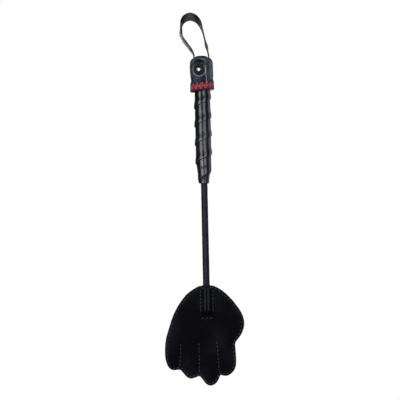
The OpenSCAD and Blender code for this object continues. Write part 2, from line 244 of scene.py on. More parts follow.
# %% Shader arithmetic
class Value:
    """One socket in a finish, usable in arithmetic."""

    def __init__(self, finish, socket):
        self.finish, self.socket = finish, socket

    def maths(self, operation, *terms):
        sockets = dict(enumerate(terms))
        return self.finish.node("ShaderNodeMath", {"operation": operation}, sockets)["Value"]

    def __add__(self, other):
        return self.maths("ADD", self, other)

    def __sub__(self, other):
        return self.maths("SUBTRACT", self, other)

    def __rsub__(self, other):
        return self.maths("SUBTRACT", other, self)

    def __mul__(self, other):
        return self.maths("MULTIPLY", self, other)

    def __truediv__(self, other):
        return self.maths("DIVIDE", self, other)

    def __lt__(self, other):
        return self.maths("LESS_THAN", self, other)

    def __mod__(self, other):
        return self.maths("FLOORED_MODULO", self, other)

    def __abs__(self):
        return self.maths("ABSOLUTE", self)

    def wave(self):
        return self.maths("SINE", self)

    def limited(self):
        return self.maths("MAXIMUM", self.maths("MINIMUM", self, 1.0), 0.0)


class Made:
    """A node that has been made; its outputs are read by name."""

    def __init__(self, finish, node):
        self.finish, self.node = finish, node

    def __getitem__(self, name):
        return Value(self.finish, self.node.outputs[name])


class Finish:
    """A material round one principled shader."""

    def __init__(self, name, **constants):
        self.material = bpy.data.materials.new(name)
        self.material.use_nodes = True
        self.tree = self.material.node_tree
        self.shader = self.tree.nodes["Principled BSDF"]
        self.coordinates = self.node("ShaderNodeTexCoord")
        for socket, value in constants.items():
            self.fill(self.shader.inputs[socket.replace("_", " ")], value)

    def fill(self, socket, value):
        if isinstance(value, Value):
            self.tree.links.new(value.socket, socket)
        elif isinstance(value, tuple) and len(value) == 3 and socket.type == "RGBA":
            socket.default_value = (*value, 1)
        else:
            socket.default_value = value

    def node(self, kind, settings=None, sockets=None):
        made = self.tree.nodes.new(kind)
        for name, value in (settings or {}).items():
            setattr(made, name, value)
        for name, value in (sockets or {}).items():
            self.fill(made.inputs[name], value)
        return Made(self, made)

    def noise(self, size_mm, detail=3.0):
        where = self.coordinates["Object"]
        sockets = {"Vector": where, "Scale": 1 / (size_mm * MM), "Detail": detail}
        return self.node("ShaderNodeTexNoise", None, sockets)["Fac"]

    def cells(self, size_mm):
        where = self.coordinates["Object"]
        sockets = {"Vector": where, "Scale": 1 / (size_mm * MM)}
        return self.node("ShaderNodeTexVoronoi", {"feature": "F1"}, sockets)["Distance"]

    def painted(self, name):
        return self.node("ShaderNodeAttribute", {"attribute_name": name})["Fac"]

    def mix(self, factor, first, second):
        made = self.tree.nodes.new("ShaderNodeMix")
        made.data_type = "RGBA"
        self.fill(made.inputs[0], factor)
        self.fill(made.inputs[6], first)
        self.fill(made.inputs[7], second)
        return Value(self, made.outputs[2])

    def relief(self, height, depth_mm):
        sockets = {"Height": height, "Distance": depth_mm * MM, "Strength": 1.0}
        bump = self.node("ShaderNodeBump", None, sockets)
        self.fill(self.shader.inputs["Normal"], bump["Normal"])

    def colour(self, value):
        self.fill(self.shader.inputs["Base Color"], value)

    def roughness(self, value):
        self.fill(self.shader.inputs["Roughness"], value)


print("shader arithmetic ready")

# %% [markdown]
# ## Leather
# Real black leather is never one black: the grain's valleys keep the dye and its ridges are rubbed
# a little grey. Small Voronoi cells give pebbled grain, a slow noise makes the tone and the gloss
# uneven, and a painted value lightens the leather: partly rubbing, partly painted highlights and
# sheen on cut edges, crests, shoulders and tops.

# %% Leather finishes
def leather(name, dark, worn_and_lit, gloss, grain_mm, shine, depth_mm=0.08, patch_mm=38.0):
    """Pebbled leather in a dark tone that turns lighter where a painted value marks rubbing and
    painted highlights; gloss is its roughness.
    """
    made = Finish(name, Specular_IOR_Level=shine)
    pebbles = made.cells(grain_mm)
    creases = made.noise(grain_mm * 6, 4)
    pores = made.noise(grain_mm * 0.35, 2)
    patches = made.noise(patch_mm, 2)
    # painted value: rubbing on some pieces, painted highlights and sheen on others
    wear_and_sheen = made.painted("wear_and_sheen")
    tone = (wear_and_sheen * 0.8 + (pebbles - 0.35) * 0.2 + (patches - 0.5) * 0.8).limited()
    made.colour(made.mix(tone, dark, worn_and_lit))
    made.roughness(patches * 0.16 + pores * 0.1 + (gloss - 0.13) - wear_and_sheen * 0.04)
    made.relief(pebbles * -0.55 + creases * 0.9 + pores * 0.25, depth_mm)
    return made.material


hand_finish = leather(
    "hand_leather",
    dark=(0.0009, 0.0009, 0.0016),
    worn_and_lit=(0.016, 0.016, 0.019),
    gloss=0.6,
    grain_mm=1.0,
    shine=0.02,
)
grip_finish = leather(
    "grip_leather",
    dark=(0.002, 0.002, 0.003),
    worn_and_lit=(0.014, 0.014, 0.017),
    gloss=0.25,
    grain_mm=1.1,
    depth_mm=0.035,
    shine=0.34,
)
cap_finish = leather(
    "cap_leather",
    dark=(0.002, 0.003, 0.007),
    worn_and_lit=(0.06, 0.07, 0.11),
    gloss=0.38,
    grain_mm=0.8,
    depth_mm=0.06,
    shine=0.36,
    patch_mm=9,
)
tab_finish = leather(
    "tab_leather",
    dark=(0.001, 0.0012, 0.003),
    worn_and_lit=(0.26, 0.29, 0.36),
    gloss=0.5,
    grain_mm=0.8,
    depth_mm=0.06,
    shine=0.06,
)
strap_finish = leather(
    "strap_leather",
    dark=(0.002, 0.002, 0.003),
    worn_and_lit=(0.3, 0.3, 0.31),
    gloss=0.45,
    grain_mm=0.8,
    depth_mm=0.02,
    shine=0.15,
)
sleeve_finish = leather(
    "sleeve_leather",
    dark=(0.003, 0.0026, 0.006),
    worn_and_lit=(0.013, 0.0115, 0.022),
    gloss=0.42,
    grain_mm=0.7,
    depth_mm=0.05,
    shine=0.08,
)
print("leathers:", len(bpy.data.materials))

# %% [markdown]
# ## Thread, label, lacquer and the hidden materials
# Thread is fibrous. The woven label has fine ribs and a red pattern of plain diamonds with a spot
# in each, drawn from the band's own unrolled coordinates and only on its outer side. The pieces
# inside are dressed too, because some of them show when the tab is open.

# %% Other finishes
def thread_finish():
    made = Finish("waxed_thread", Roughness=0.55, Specular_IOR_Level=0.25)
    fibres = made.noise(0.25)
    made.colour(made.mix(fibres, (0.006, 0.006, 0.008), (0.027, 0.027, 0.033)))
    made.relief(fibres, 0.05)
    return made.material


def label_finish():
    made = Finish("woven_label", Sheen_Weight=0.1, Specular_IOR_Level=0.2)
    unrolled = made.node("ShaderNodeSeparateXYZ", None, {0: made.coordinates["UV"]})
    along, above = unrolled["X"], unrolled["Y"]
    half_wide, half_high = 3.2, 4.6
    spot_wide, spot_high = 1.0, 1.5
    rib_mm, thread_mm = 0.5, 0.42
    leaning = along - above * 0.3
    across = abs(leaning % (2 * half_wide) - half_wide)
    diamond = across / half_wide + abs(above) / half_high
    outline = (diamond < 0.96) - (diamond < 0.64)
    spot = across / spot_wide + abs(above) / spot_high < 1.0
    red = (outline + spot).limited() * made.painted("outside")
    ribs = (above * 2 * math.pi / rib_mm).wave()
    threads = (along * 2 * math.pi / thread_mm).wave()
    fuzz = made.noise(0.5)
    black = made.mix(fuzz, (0.003, 0.003, 0.004), (0.012, 0.012, 0.014))
    scarlet = made.mix(fuzz, (0.24, 0.006, 0.02), (0.62, 0.035, 0.08))
    made.colour(made.mix(red, black, scarlet))
    made.roughness(fuzz * 0.2 + 0.62)
    made.relief(ribs * 0.3 + threads * 0.2 + red * 0.7 + fuzz * 0.5, 0.08)
    return made.material


def lacquer_finish():
    made = Finish("black_lacquer", Coat_Roughness=0.08, Specular_IOR_Level=0.06)
    smears = made.noise(2.5)
    rubbed = made.painted("wear_and_sheen")
    made.colour(made.mix(smears, (0.002, 0.002, 0.003), (0.008, 0.008, 0.011)))
    made.roughness(smears * 0.12 + rubbed * 0.34 + 0.14)
    made.fill(made.shader.inputs["Coat Weight"], 1.0 - rubbed)
    made.relief(made.noise(0.6, 2), 0.002)
    return made.material


def metal_finish(name, tone, streak_mm):
    made = Finish(name, Metallic=1.0)
    streaks = made.noise(streak_mm, 4)
    darker = tuple(c * 0.7 for c in tone)
    made.colour(made.mix(streaks, darker, tone))
    made.roughness(streaks * 0.25 + 0.22)
    made.relief(streaks, 0.01)
    return made.material


def wood_finish():
    made = Finish("turned_beech")
    rings = made.cells(3.0)
    figure = made.noise(6, 5)
    made.colour(made.mix(figure, (0.36, 0.22, 0.11), (0.58, 0.4, 0.23)))
    made.roughness(figure * 0.2 + 0.5)
    made.relief(rings * 0.3 + figure, 0.05)
    return made.material


def rod_finish():
    made = Finish("glass_fibre_rod", Coat_Weight=0.2)
    strands = made.noise(0.8, 4)
    made.colour(made.mix(strands, (0.42, 0.4, 0.24), (0.66, 0.62, 0.42)))
    made.roughness(strands * 0.2 + 0.3)
    made.relief(strands, 0.02)
    return made.material


waxed_thread = thread_finish()
woven_label = label_finish()
black_lacquer = lacquer_finish()
snap_steel = metal_finish("snap_steel", (0.62, 0.62, 0.64), 1.2)
tack_brass = metal_finish("tack_brass", (0.78, 0.6, 0.28), 1.0)
turned_beech = wood_finish()
rod_glass_fibre = rod_finish()
print("finishes:", len(bpy.data.materials))

# %% [markdown]
# ## The hand's edge
# The two leathers were cut with one knife, so both follow one outline. It is read back from the
# exact solids' side walls, put in order by angle round the palm, and smoothed into a fine line.

# %% Outline of the hand
bend_z = -236.0
palm_centre = np.array([-5.0, -262.0])
pocket_side_x, pocket_foot_z = 7.3, -232


def wall_points(node):
    """Where the outer side walls of one leather's solid stand, as x and z."""
    mesh = nodes[node].data
    found = []
    for face in mesh.polygons:
        x, z = face.center.x / MM, face.center.z / MM
        along_bend = abs(face.normal.x) < 0.01 and abs(z - bend_z) < 4
        by_pocket = abs(x) < pocket_side_x and z > pocket_foot_z
        if abs(face.normal.y) > 0.05 or along_bend or by_pocket:
            continue
        for v in face.vertices:
            found.append((mesh.vertices[v].co.x / MM, mesh.vertices[v].co.z / MM))
    return found


corners = wall_points("front_leather_neck") + wall_points("front_leather_palm")
corners = [p for p in corners if abs(p[0]) > pocket_side_x or p[1] < pocket_foot_z]
corners.append((0.0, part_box("front_leather_neck")[1].z / MM))
corners = np.array(sorted(set((round(x, 2), round(z, 2)) for x, z in corners)))
turn = np.arctan2(*(corners - palm_centre).T)
corners = corners[np.argsort(turn)]
step = np.linalg.norm(corners - np.roll(corners, 1, axis=0), axis=1)
least_step = 0.6
corners = corners[step > least_step]
fine = curve_through(corners, 6, closes=True)
gaps = np.linalg.norm(np.roll(fine, -1, axis=0) - fine, axis=1)
walked = np.concatenate([[0], np.cumsum(gaps)])
around_hand = 420
stops = np.linspace(0, walked[-1], around_hand, endpoint=False)
closed_line = np.vstack([fine, fine[:1]])
edge = np.column_stack([np.interp(stops, walked, closed_line[:, k]) for k in (0, 1)])
print("edge of the hand:", round(walked[-1]), "mm round, from", len(corners), "corners")


def edge_distance(points):
    """Distance from each point to the hand's edge."""
    a, b = edge, np.roll(edge, -1, axis=0)
    span = b - a
    offset = points[:, None, :] - a[None]
    t = np.clip((offset * span).sum(-1) / (span**2).sum(-1), 0, 1)
    return np.linalg.norm(offset - t[..., None] * span, axis=-1).min(axis=1)


# %% [markdown]
# ## Where the stitches are
# Each stitch is a small bar in the frame. Bars that share corners are gathered into one stitch,
# which gives its middle and its direction, so thread and leather agree about every needle hole.

# %% Stitches of a row
def stitches_of(node):
    """Middle and direction, as x and z, of each stitch on the front face."""
    mesh = nodes[node].data
    spots = [tuple(round(c / MM, 2) for c in v.co) for v in mesh.vertices]
    owner = {spot: spot for spot in spots}

    def root(spot):
        while owner[spot] != spot:
            spot = owner[spot]
        return spot

    for face in mesh.polygons:
        first = root(spots[face.vertices[0]])
        for v in face.vertices:
            owner[root(spots[v])] = first
    groups = {}
    for spot in owner:
        groups.setdefault(root(spot), []).append(spot)
    rows = []
    for group in groups.values():
        bar = np.array(group)
        if bar[:, 1].mean() > 0:
            continue
        flat = bar[:, [0, 2]] - bar[:, [0, 2]].mean(0)
        direction = np.linalg.svd(flat, full_matrices=False)[2][0]
        rows.append((bar[:, [0, 2]].mean(0), direction))
    return rows


sewn = {
    node: stitches_of(node)
    for node in (
        "edge_stitches_neck",
        "edge_stitches_palm",
        "pocket_stitches",
        "cross_stitches",
        "finger_stitches",
    )
}
mouth_row_z = -193.6
mouth_row_x = (-7.6, -4.4, 4.4, 7.6)
for x in mouth_row_x:
    sewn["edge_stitches_neck"].append((np.array([x, mouth_row_z]), np.array([1.0, 0.0])))
all_stitches = [stitch for row in sewn.values() for stitch in row]
print("stitches on each face:", len(all_stitches))

# %% [markdown]
# ## The hand's two leathers
# Each leather is a closed skin: a rounded cut edge, an outer face and an inner face. The outer
# face is a height over the flat pattern: thickness, a channel where thread pulls it down, a soft
# swell between the rows, and the ridge where it is stretched over the rod.

# %% Height of the leather
leather_t = 2.5
half_stitch = 1.75
pocket_end = -223.5
inner_rings = [0, 0.15, 0.45, 0.9, 6]
outer_rings = [0, 0.12, 0.3, 0.6, 1.0, 1.5, 2.0, 2.4, 2.8, 3.2, 3.6, 4.1, 4.8]
middle_rings = 42


def stitch_distance(points):
    """Distance from each point to the nearest stitch."""
    middles = np.array([s[0] for s in all_stitches])
    directions = np.array([s[1] for s in all_stitches])
    offset = points[:, None, :] - middles[None]
    t = np.clip((offset * directions).sum(-1), -half_stitch, half_stitch)
    return np.linalg.norm(offset - t[..., None] * directions, axis=-1).min(axis=1)


def rod_ridge(x, z):
    """How far the leather stands off because of the rod under it."""
    fade = 1 - smooth_step(-z, -pocket_end - 1, -pocket_end + 6)
    spread = 1 + 0.35 * smooth_step(-z, -pocket_end - 6, -pocket_end + 5)
    crown = np.sqrt(np.clip(1 - (x / (5.6 * spread)) ** 2, 0, 1))
    skirt = np.exp(-((np.abs(x) / (6.3 * spread)) ** 3.2))
    saddle = 0.6 * np.exp(-((x / 1.3) ** 2)) * smooth_step(-z, 191, 196)
    return fade * (3.9 * (0.55 * crown + 0.45 * skirt) * (skirt > 0.01) - saddle)


def outer_height(points):
    """Height of a leather's outer face over the seam between the two leathers."""
    x, z = points[:, 0], points[:, 1]
    inset = edge_distance(points)
    to_stitch = stitch_distance(points)
    flat = np.column_stack([x, np.zeros(len(x)), z])
    rounding = np.sqrt(np.clip(1 - (1 - np.clip(inset / 0.8, 0, 1)) ** 2, 0, 1))
    thickness = leather_t * (0.5 + 0.5 * rounding)
    channel = 0.32 * np.exp(-(((inset - 2.8) / 1.0) ** 2)) + 0.5 * np.exp(-((to_stitch / 0.95) ** 2))
    swell = 0.45 * (1 - np.exp(-((to_stitch / 7) ** 2))) * smooth_step(inset, 3, 9)
    uneven = 0.1 * ripple(flat, 9, 3) * smooth_step(inset, 0.5, 4)
    return thickness - channel * (inset > 0.7) + swell + uneven + rod_ridge(x, z)


def sway(points):
    """Gentle waves that both leathers share, none where the rod holds them straight."""
    flat = np.column_stack([points[:, 0], np.zeros(len(points)), points[:, 1]])
    free = smooth_step(-points[:, 1], 228, 290)
    return 1.1 * ripple(flat, 75, 8) * free


print("leather is", leather_t, "mm thick")

# %% [markdown]
# ## Both leathers from one function
# The front and the back leather differ only in the side that they face. Rings step inwards from
# the cut edge, closely at first, where the rounding and the channel need them, and then in even
# shares of the way to the middle of the palm.

# %% The two leathers
def hand_leather(name, side, neck, palm):
    """One leather; side is -1 in front and 1 behind."""
    inwards = palm_centre - edge
    reach = np.linalg.norm(inwards, axis=1)
    inwards /= reach[:, None]
    shares = np.linspace(0, 1, middle_rings + 2)[1:-1] ** 0.85
    rings = []
    for inset in outer_rings:
        flat = edge + inwards * inset
        rings.append((flat, outer_height(flat)))
    start = outer_rings[-1]
    for share in shares:
        flat = edge + inwards * (start + (reach[:, None] - start) * share)
        rings.append((flat, outer_height(flat)))
    centre_height = float(outer_height(palm_centre[None])[0])
    inner = []
    for inset in inner_rings[1:]:
        flat = edge + inwards * inset
        rounding = math.sqrt(1 - (1 - min(inset / 0.45, 1)) ** 2)
        inner.append((flat, np.full(around_hand, leather_t * 0.5 * (1 - rounding) + 0.01)))
    loops = inner[::-1] + rings
    points = []
    for flat, height in loops:
        y = side * height + sway(flat)
        points.append(np.column_stack([flat[:, 0], y, flat[:, 1]]))
    verts, faces = skin(points, ends=False)
    middle_sway = float(sway(palm_centre[None])[0])
    outer_tip, inner_tip = len(verts), len(verts) + 1
    tips = [
        [palm_centre[0], side * centre_height + middle_sway, palm_centre[1]],
        [palm_centre[0], side * 0.01 + middle_sway, palm_centre[1]],
    ]
    last = (len(loops) - 1) * around_hand
    for j in range(around_hand):
        k = (j + 1) % around_hand
        faces.append((last + j, last + k, outer_tip))
        faces.append((k, j, inner_tip))
    piece = make_piece(name, np.vstack([verts, tips]), faces, hand_finish)
    paint_point_values(piece, hand_highlights_and_paleness)
    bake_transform(piece)
    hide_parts(neck, palm)


def hand_highlights_and_paleness(points):
    """Painted highlights on the bevel of the cut edge and on the two crests over the rod, and a pale
    line beside the thread.
    """
    flat = points[:, [0, 2]]
    x, z = flat.T
    inset = edge_distance(flat)
    # painted highlight along the bevel of the cut edge
    rim = 0.55 * np.exp(-(((inset - 1.3) / 0.5) ** 2))
    beside_thread = 0.12 * np.exp(-(((inset - 4.2) / 1.0) ** 2))
    over_rod = 1 - smooth_step(-z, -pocket_end - 4, -pocket_end + 2)
    # painted highlights on the two crests where the leather is stretched over the rod
    crests = np.exp(-(((np.abs(x) - 2.2) / 0.7) ** 2)) * over_rod
    return rim + beside_thread + crests


hand_leather("front_hand_leather", -1, "front_leather_neck", "front_leather_palm")
hand_leather("back_hand_leather", 1, "back_leather_neck", "back_leather_palm")

# %% [markdown]
# ## Thread
# A stitch is a short length of two-ply thread that rises out of one needle hole and sinks into
# the next. One stitch is a small tube whose section is a twisted oval, and a row is many of them,
# laid on the height of the leather at that spot.

# %% Stitches
thread_r = 0.46
thread_half = 1.95
thread_rise, thread_sink = 0.5, 0.28


def one_stitch(middle, direction, side):
    """Rings of a stitch's tube, from one needle hole to the other."""
    rings = []
    height = float(outer_height(middle[None])[0])
    lift = float(sway(middle[None])[0])
    across = np.array([-direction[1], 0, direction[0]])
    along = np.array([direction[0], 0, direction[1]])
    out = np.array([0, side, 0])
    for t in np.linspace(-1, 1, 9):
        arch = thread_rise * (1 - abs(t) ** 3.5) - thread_sink
        centre = np.array([middle[0], lift + side * (height + arch), middle[1]])
        centre = centre + along * t * thread_half
        girth = thread_r * (1 - 0.55 * abs(t) ** 6)
        ring = []
        for turn in np.linspace(0, 2 * math.pi, 9)[:-1]:
            ply = 1 + 0.16 * math.cos(2 * (turn - 2.6 * t))
            ring.append(centre + girth * ply * (math.cos(turn) * across + math.sin(turn) * out))
        rings.append(ring)
    return rings


def sew(name, *rows):
    """All the stitches of some rows, on both faces of the hand."""
    points, faces = [], []
    for row in rows:
        for middle, direction in sewn[row]:
            for side in (-1, 1):
                ring_points, ring_faces = skin(one_stitch(middle, direction, side))
                shift = sum(len(p) for p in points)
                points.append(ring_points)
                faces += [tuple(shift + v for v in face) for face in ring_faces]
    piece = make_piece(name, np.vstack(points), faces, waxed_thread)
    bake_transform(piece)
    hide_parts(*rows)


sew("edge_thread", "edge_stitches_neck", "edge_stitches_palm")
sew("pocket_thread", "pocket_stitches")
sew("cross_thread", "cross_stitches")
sew("finger_thread", "finger_stitches")

# %% [markdown]
# ## The shaft's sleeve
# The sleeve is a strip of thin leather folded lengthwise round the rod and glued along a seam at
# the back. It is a tube of rings with a shallow butt seam, and it is a little uneven because
# leather drawn over a rod never lies quite true.

# %% Sleeve
sleeve_low, sleeve_high = -221.5, -50.0
sleeve_radii = [4.4, 4.2]
sleeve_t = 1.25
sleeve_turns = 40


def sleeve_ring(z, shrink=0.0):
    """One ring of the sleeve; shrink is 0 outside and the leather's thickness inside."""
    radius = np.interp(z, [sleeve_low, sleeve_high], sleeve_radii) - shrink
    turn = np.linspace(0, 2 * math.pi, sleeve_turns, endpoint=False)
    ring = np.column_stack([np.sin(turn), -np.cos(turn), np.zeros(sleeve_turns)])
    seam = 0.28 * np.exp(-(((turn - math.pi) / 0.09) ** 2))
    lump = 0.05 * ripple(ring * 4.4 + [0, 0, z], 5, 21) + 0.05 * ripple(ring + [0, 0, z], 17, 22)
    return ring * (radius - seam * (shrink == 0) + lump)[:, None] + [0, 0, z]


heights = np.linspace(sleeve_low, sleeve_high, 230)
sleeve_rings = [sleeve_ring(z) for z in heights]
sleeve_rings += [sleeve_ring(z, sleeve_t) for z in (sleeve_high, sleeve_low)]
points, faces = skin(sleeve_rings, path_closes=True)
sleeve = make_piece("shaft_sleeve_leather", points, faces, sleeve_finish)
paint_point_values(sleeve, lambda p: 0.25 + 0.3 * ripple(p, 14, 23))
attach(sleeve, "handle")
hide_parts("shaft_sleeve")

# %% [markdown]
# ## The grip's spiral
# A strip of leather is wound upwards, each turn lapped over the one below, so every lower edge
# shows as a step. The strip is one long skin: its section is followed from the lower edge, over
# the lap and up to the edge hidden by the next turn, and it narrows with the grip at the bottom.

# %% Spiral of leather
pitch, lap, strip_t = 23.6, 3.6, 1.2
first_edge_z = 36.6
grip_low, grip_high = -59.8, 60.2
steps_round = 72


def grip_radius(z):
    """Radius of the turned former under the leather."""
    return np.interp(z, [-57, -36, -16], [4.95, 8.12, 8.62])


def strip_section(turn):
    """Closed section of the strip at a number of turns up the grip, as radius and z."""
    edge_z = first_edge_z + pitch * turn
    low, high = max(0.0, grip_low - edge_z), min(pitch + lap, grip_high - edge_z)
    share = np.linspace(0, 1, 20) ** 1.5
    s = low + (high - low) * share
    z = edge_z + s
    lift = (strip_t + 0.12) * (1 - smooth_step(s, lap * 0.6, lap + 8))
    inner = grip_radius(z) + lift + 0.03
    rounding = np.sqrt(np.clip(1 - (1 - np.clip((s - low) / 0.8, 0, 1)) ** 2, 0, 1))
    thick = strip_t * (0.25 + 0.75 * rounding)
    swell = 0.28 * np.sin(np.clip((s - 1) / pitch, 0, 1) * math.pi)
    return np.column_stack([inner, z]), np.column_stack([inner + thick + swell, z])


first_turn = (grip_low - pitch - lap + 1.2 - first_edge_z) / pitch
last_turn = (grip_high - 1.2 - first_edge_z) / pitch
spiral = []
for turn in np.arange(first_turn, last_turn, 1 / steps_round):
    inner, outer = strip_section(turn)
    angle = math.pi + 2 * math.pi * turn
    section = np.vstack([inner, outer[::-1]])
    ring = np.column_stack(
        [section[:, 0] * math.cos(angle), section[:, 0] * math.sin(angle), section[:, 1]]
    )
    outwards = np.array([math.cos(angle), math.sin(angle), 0])
    bump = 0.1 * ripple(ring, 13, 31) + 0.03 * ripple(ring, 5, 32)
    bump[: len(inner)] = 0
    spiral.append(ring + bump[:, None] * outwards)
points, faces = skin(spiral)
grip = make_piece("spiral_grip_leather", points, faces, grip_finish)


def grip_pale_bands(points):
    """The leather is painted palest just above each lower edge, and unevenly all over."""
    turn = (np.arctan2(points[:, 1], points[:, 0]) - math.pi) / (2 * math.pi)
    above = (points[:, 2] - first_edge_z - pitch * turn) % pitch
    return 0.25 * np.exp(-(((above - 2.2) / 1.2) ** 2)) + 0.12 + 0.15 * ripple(points, 13, 33)


paint_point_values(grip, grip_pale_bands)
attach(grip, "handle")
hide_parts("grip_wrap")

# %% [markdown]
# ## The cap
# Soft leather is drawn over a turned core. The skin follows the core's profile, sits a little
# left of it at the top, sinks where the strap goes in, and has a seam at the back.

# %% Cap
cap_turns = 128
cap_outer = [
    (14.9, 61.0), (14.6, 66), (14.3, 72), (14.35, 74), (14.6, 76.5), (14.8, 80), (14.95, 85),
    (14.95, 90), (14.9, 94), (14.6, 96.6), (13.6, 98.8), (12.2, 100.6), (10.3, 102.2),
    (7.5, 103.4), (4.0, 104.0), (0.02, 104.2),
]
cap_t = 1.5
strap_exits = (-9.8, 9.0)
profile = curve_through(cap_outer, 5)


def cap_ring(radius, z, shrink):
    """One ring of the cap's skin; shrink is 0 outside and the leather's thickness inside."""
    turn = np.linspace(0, 2 * math.pi, cap_turns, endpoint=False)
    ring = np.column_stack([np.sin(turn), -np.cos(turn), np.zeros(cap_turns)])
    spot = ring * radius + [0, 0, z]
    soft = 0.24 * ripple(spot, 17, 41) + 0.1 * ripple(spot, 6, 42)
    soft *= smooth_step(z, 73, 80) * min(1, radius / 5)
    seam = 0.4 * np.exp(-(((turn - math.pi) * radius / 0.8) ** 2)) * (z < 101)
    sunk = 0.0
    for x in strap_exits:
        near = np.exp(-(((spot[:, 0] - x) / 1.7) ** 2)) * (np.abs(spot[:, 1]) < 7.5)
        sunk = sunk + 1.3 * near * smooth_step(z, 96.5, 100)
    out = ring * (radius - shrink * min(1, radius / 3) + (soft - seam) * (shrink == 0))[:, None]
    out[:, 0] -= 0.5 * smooth_step(z, 70, 92)
    out[:, 2] += z - shrink * smooth_step(z, 95, 102) - sunk * (shrink == 0)
    return out


hem = [(10.0, 60.75), (10.0, 60.5), (12.5, 60.4), (14.2, 60.5)]
cap_rings = [cap_ring(r, z, 0) for r, z in hem]
cap_rings += [cap_ring(r, z, 0) for r, z in profile]
cap_rings += [cap_ring(r, z, cap_t) for r, z in profile[::-1]]
points, faces = skin(cap_rings, path_closes=True)
cap = make_piece("cap_leather_skin", points, faces, cap_finish)


def cap_sheen_and_mottling(points):
    """Painted sheen pales the cap at its shoulder and a little on top, over an even paleness mottled
    at random.
    """
    radius = np.linalg.norm(points[:, :2], axis=1)
    # painted sheen on the shoulder and the top of the cap, where the lamps above catch it
    shoulder = 0.45 * np.exp(-(((points[:, 2] - 97.5) / 3) ** 2))
    top = 0.2 * (radius < 9)
    return 0.22 + shoulder + top + 0.25 * ripple(points, 10, 43)


paint_point_values(cap, cap_sheen_and_mottling)
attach(cap, "handle")
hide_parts("cap_leather")

# %% [markdown]
# ## The label
# A woven band is wrapped round the foot of the cap. It flares downwards and was sewn on a little
# crooked. Its unrolled coordinates, in millimetres, carry the pattern.

# %% Label band
label_turns = 180
label_slope = math.tan(math.radians(5.5))
label_rows = 13
label_low_z, label_wide, label_middle_z = 59.2, 12.6, 64.9
label_reach = 14.6
label_heights, label_radii = [58, 74], [15.35, 14.75]
unrolled_radius, pattern_start = 14.9, 100.3


def label_point(turn, share, out):
    """A point of the band: turn round it, share of its height, and how far out it lies."""
    x = label_reach * math.sin(turn)
    arch = share * (1.1 * math.cos(turn) - 0.8)
    z = label_low_z + label_wide * share + label_slope * x + arch
    hang = np.interp(z, label_heights, label_radii)
    wave = 0.12 * math.sin(5 * turn + 1) * (1 - share) ** 2
    radius = hang + wave + out
    return radius * math.sin(turn), -radius * math.cos(turn), z


turns = np.linspace(0, 2 * math.pi, label_turns, endpoint=False)
shares = np.linspace(0, 1, label_rows)
edge_round = np.concatenate([[0.0, 0.2], np.full(label_rows - 4, 0.3), [0.2, 0.0]])
outer_rows = [[label_point(t, s, r) for t in turns] for s, r in zip(shares, edge_round)]
inner_rows = [[label_point(t, s, -r) for t in turns] for s, r in zip(shares, edge_round)]
points, faces = skin(outer_rows + inner_rows[::-1][1:-1], path_closes=True)
label = make_piece("woven_label_band", points, faces, woven_label)
unroll = label.data.uv_layers.new(name="unrolled")
for face in label.data.polygons:
    middle_turn = math.atan2(face.center.x, -face.center.y)
    for corner in face.loop_indices:
        co = label.data.vertices[label.data.loops[corner].vertex_index].co / MM
        turn = math.atan2(co.x, -co.y)
        if turn - middle_turn > math.pi:
            turn -= 2 * math.pi
        if turn - middle_turn < -math.pi:
            turn += 2 * math.pi
        height = co.z - label_middle_z - label_slope * label_reach * math.sin(turn)
        unroll.data[corner].uv = (turn * unrolled_radius + pattern_start, height)


def outer_side(points):
    """1 on the band's outer face, 0 on the face that is hidden."""
    radius = np.hypot(points[:, 0], points[:, 1])
    return radius > np.interp(points[:, 2], label_heights, label_radii)


paint_point_values(label, outer_side, name="outside")
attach(label, "handle")
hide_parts("label_band")

# %% [markdown]
# ## The closing tab
# One strip of leather comes out from under the label, hugs the cap, and is held off it by the
# snap. It is flat where the snap is riveted and curved below. The strip bends at the label when
# it is opened.

# %% Tab
tab_turn = math.radians(-10.5)
tab_lean = math.radians(7.5)
tab_hinge_z, tab_offset = 73.8, 16.15
snap_height = 11.2
tab_half, tab_top, tab_t = 8.75, 24.0, 1.8
tab_round = tab_top - tab_half
low_curl_r, high_curl_r = 15.5, 60


def from_tab(points):
    """Points in the closed tab's own frame (across, outwards as -Y, up) to the object's."""
    points = np.atleast_2d(np.asarray(points, float))
    x, y, z = points.T
    c, s = math.cos(tab_lean), math.sin(tab_lean)
    y, z = y * c - z * s - tab_offset, y * s + z * c + tab_hinge_z
    c, s = math.cos(tab_turn), math.sin(tab_turn)
    return np.column_stack([x * c - y * s, x * s + y * c, z])


def into_tab(points):
    """The way back: points of the object to the closed tab's own frame."""
    x, y, z = np.asarray(points, float).T
    c, s = math.cos(tab_turn), math.sin(tab_turn)
    x, y = x * c + y * s, y * c - x * s + tab_offset
    c, s = math.cos(tab_lean), math.sin(tab_lean)
    z = z - tab_hinge_z
    return np.column_stack([x, y * c + z * s, z * c - y * s])


def tab_surface(across, up, out):
    """The strip's face: across from -1 to 1, up in millimetres over the hinge."""
    over = np.clip((up - tab_round) / tab_half, 0, 1)
    half = tab_half * np.sqrt(np.clip(1 - over**2, 0, 1))
    x = across * np.maximum(half, 0.05)
    wrap = 1 - smooth_step(up, -2, 9)
    curl = x**2 * (wrap / (2 * low_curl_r) + (1 - wrap) / (2 * high_curl_r))
    hug = 2.1 * smooth_step(-up, 0.5, 9)
    from_snap = np.hypot(x, up - snap_height)
    pucker = 0.32 * np.exp(-(((from_snap - 8.6) / 0.9) ** 2)) - 0.25 * (from_snap < 7.4)
    tuck = 1.3 * smooth_step(up, 18, 25) ** 2
    return x, curl + hug + tuck - out - pucker * (out > 0), up


